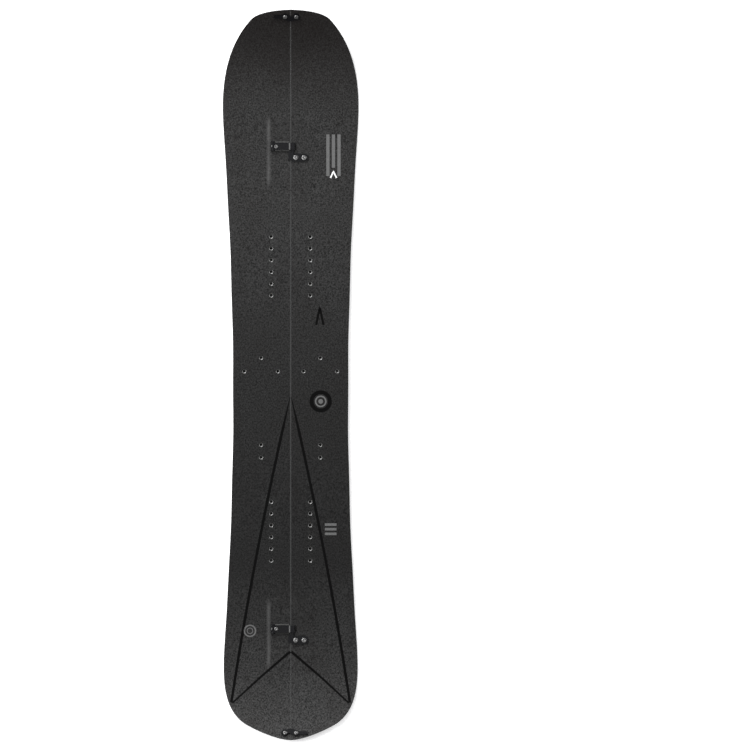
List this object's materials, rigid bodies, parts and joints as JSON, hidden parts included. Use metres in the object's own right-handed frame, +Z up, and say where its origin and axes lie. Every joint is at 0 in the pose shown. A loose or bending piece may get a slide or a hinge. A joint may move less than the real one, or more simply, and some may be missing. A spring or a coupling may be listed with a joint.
{
  "type": "splitboard",
  "caption": "Snowboard split lengthwise into touring skis, joined by lever clips across the seam and latches at both tips.",
  "frame": {"origin": "on the floor below the seam at mid-length", "axes": "+Y towards the nose, +X towards the right half, +Z up from base to topsheet"},
  "size_m": [0.294, 1.577, 0.0531],
  "materials": {
    "topsheet": "satin charcoal, speckled",
    "glass_laminate": "cured glass and resin",
    "core_wood": "planed strips",
    "tip_spacer": "matte",
    "sidewall": "milled matte",
    "running_base": "ground and waxed",
    "edge_steel": "ground",
    "pad_filler": "matte",
    "insert_steel": "bright",
    "black_anodised": "black anodised",
    "screw_steel": "turned"
  },
  "bodies": {
    "left_half": {"left_topsheet": "topsheet", "left_top_laminate": "glass_laminate", "left_core": "core_wood", "left_nose_spacer": "tip_spacer", "left_tail_spacer": "tip_spacer", "left_outer_sidewall": "sidewall", "left_inner_sidewall": "sidewall", "left_bottom_laminate": "glass_laminate", "left_base": "running_base", "left_outer_edge": "edge_steel", "left_inner_edge": "edge_steel", "left_clip_pads": "pad_filler", "left_binding_inserts": "insert_steel", "left_touring_inserts": "insert_steel", "left_clip_inserts": "insert_steel", "left_tip_nuts": "insert_steel", "lever_bases": "black_anodised", "lever_base_screws": "screw_steel", "lever_pins": "screw_steel", "tail_catch": "black_anodised", "nose_latch_bolt": "screw_steel", "tail_catch_bolt": "screw_steel", "nose_latch_washer": "black_anodised"},
    "right_half": {"right_topsheet": "topsheet", "right_top_laminate": "glass_laminate", "right_core": "core_wood", "right_nose_spacer": "tip_spacer", "right_tail_spacer": "tip_spacer", "right_outer_sidewall": "sidewall", "right_inner_sidewall": "sidewall", "right_bottom_laminate": "glass_laminate", "right_base": "running_base", "right_outer_edge": "edge_steel", "right_inner_edge": "edge_steel", "right_clip_pads": "pad_filler", "right_binding_inserts": "insert_steel", "right_touring_inserts": "insert_steel", "right_clip_inserts": "insert_steel", "right_tip_nuts": "insert_steel", "hook_plates": "black_anodised", "hook_plate_screws": "screw_steel", "nose_catch": "black_anodised", "tail_latch_bolt": "screw_steel", "nose_catch_bolt": "screw_steel", "tail_latch_washer": "black_anodised"},
    "front_lever": {"front_lever": "black_anodised"},
    "rear_lever": {"rear_lever": "black_anodised"},
    "nose_latch": {"nose_latch": "black_anodised"},
    "tail_latch": {"tail_latch": "black_anodised"}
  },
  "joints": [
    {"name": "halves_part", "type": "slide", "parent": "left_half", "child": "right_half", "axis": [1, 0, 0], "range_m": [0, 0.2]},
    {"name": "front_lever_lift", "type": "hinge", "parent": "left_half", "child": "front_lever", "pos_m": [-0.0395, 0.49445, 0.01436], "axis": [0, -0.9996, 0.0277], "range_deg": [0, 110]},
    {"name": "rear_lever_lift", "type": "hinge", "parent": "left_half", "child": "rear_lever", "pos_m": [-0.0395, -0.54888, 0.01444], "axis": [0, -0.9995, -0.0311], "range_deg": [0, 110]},
    {"name": "nose_latch_turn", "type": "hinge", "parent": "left_half", "child": "nose_latch", "pos_m": [-0.012, 0.774, 0.04543], "axis": [0, 0.4069, -0.9135], "range_deg": [0, 75]},
    {"name": "tail_latch_turn", "type": "hinge", "parent": "right_half", "child": "tail_latch", "pos_m": [0.012, -0.774, 0.03414], "axis": [0, -0.3618, -0.9322], "range_deg": [0, 75]}
  ]
}
